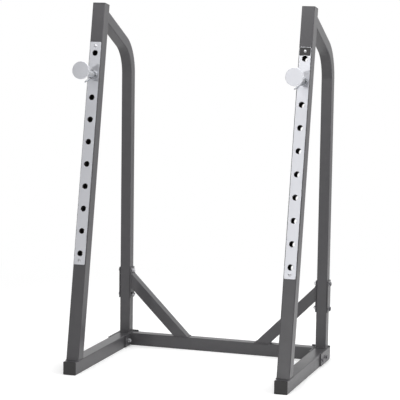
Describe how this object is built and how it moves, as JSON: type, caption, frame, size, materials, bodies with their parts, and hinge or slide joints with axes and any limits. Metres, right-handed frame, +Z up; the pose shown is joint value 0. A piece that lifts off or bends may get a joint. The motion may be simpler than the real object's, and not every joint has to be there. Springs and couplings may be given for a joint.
{
  "type": "squat stand",
  "caption": "Free-standing squat stand: leaning uprights with polished hole strips, bent rear posts, a braced rear crossmember and pull-out bar rests with round stop plates.",
  "frame": {"origin": "on the floor, in the middle of the stand's footprint", "axes": "+Z up, -Y the front, where the barbell is racked, +X right as seen from the front"},
  "size_m": [1.073, 0.7536, 1.6632],
  "materials": {
    "powder_coat": "satin powder coat",
    "polished_steel": "polished plated steel",
    "zinc_steel": "bright zinc plate",
    "black_plastic": "moulded, fine texture"
  },
  "bodies": {
    "root": {"left_upright": "powder_coat", "left_hole_strip": "polished_steel", "left_strip_screw_upper": "zinc_steel", "left_strip_screw_lower": "zinc_steel", "left_upright_cap": "black_plastic", "left_base_tube": "powder_coat", "left_rear_post": "powder_coat", "left_post_bracket": "powder_coat", "left_base_bracket": "powder_coat", "left_brace": "powder_coat", "left_base_cap": "black_plastic", "left_post_bolt_lower": "zinc_steel", "left_post_nut_lower": "zinc_steel", "left_post_bolt_upper": "zinc_steel", "left_post_nut_upper": "zinc_steel", "left_base_bolt_rear": "zinc_steel", "left_base_nut_rear": "zinc_steel", "left_base_bolt_front": "zinc_steel", "left_base_nut_front": "zinc_steel", "right_upright": "powder_coat", "right_hole_strip": "polished_steel", "right_strip_screw_upper": "zinc_steel", "right_strip_screw_lower": "zinc_steel", "right_upright_cap": "black_plastic", "right_base_tube": "powder_coat", "right_rear_post": "powder_coat", "right_post_bracket": "powder_coat", "right_base_bracket": "powder_coat", "right_brace": "powder_coat", "right_base_cap": "black_plastic", "right_post_bolt_lower": "zinc_steel", "right_post_nut_lower": "zinc_steel", "right_post_bolt_upper": "zinc_steel", "right_post_nut_upper": "zinc_steel", "right_base_bolt_rear": "zinc_steel", "right_base_nut_rear": "zinc_steel", "right_base_bolt_front": "zinc_steel", "right_base_nut_front": "zinc_steel", "rear_crossmember": "powder_coat"},
    "left_rest": {"left_rest_peg": "polished_steel", "left_rest_stop": "polished_steel"},
    "left_lock": {"left_rest_collar": "polished_steel", "left_rest_lever": "polished_steel"},
    "right_rest": {"right_rest_peg": "polished_steel", "right_rest_stop": "polished_steel"},
    "right_lock": {"right_rest_collar": "polished_steel", "right_rest_lever": "polished_steel"}
  },
  "joints": [
    {"name": "left_rest_slide", "type": "slide", "parent": "root", "child": "left_rest", "axis": [0, -0.9826, 0.1857], "range_m": [0, 0.075]},
    {"name": "left_lock_turn", "type": "hinge", "parent": "left_rest", "child": "left_lock", "pos_m": [-0.4925, -0.10318, 1.33534], "axis": [0, -0.9826, 0.1857], "range_deg": [0, 90]},
    {"name": "right_rest_slide", "type": "slide", "parent": "root", "child": "right_rest", "axis": [0, -0.9826, 0.1857], "range_m": [0, 0.075]},
    {"name": "right_lock_turn", "type": "hinge", "parent": "right_rest", "child": "right_lock", "pos_m": [0.4925, -0.10318, 1.33534], "axis": [0, -0.9826, 0.1857], "range_deg": [0, 90]}
  ]
}
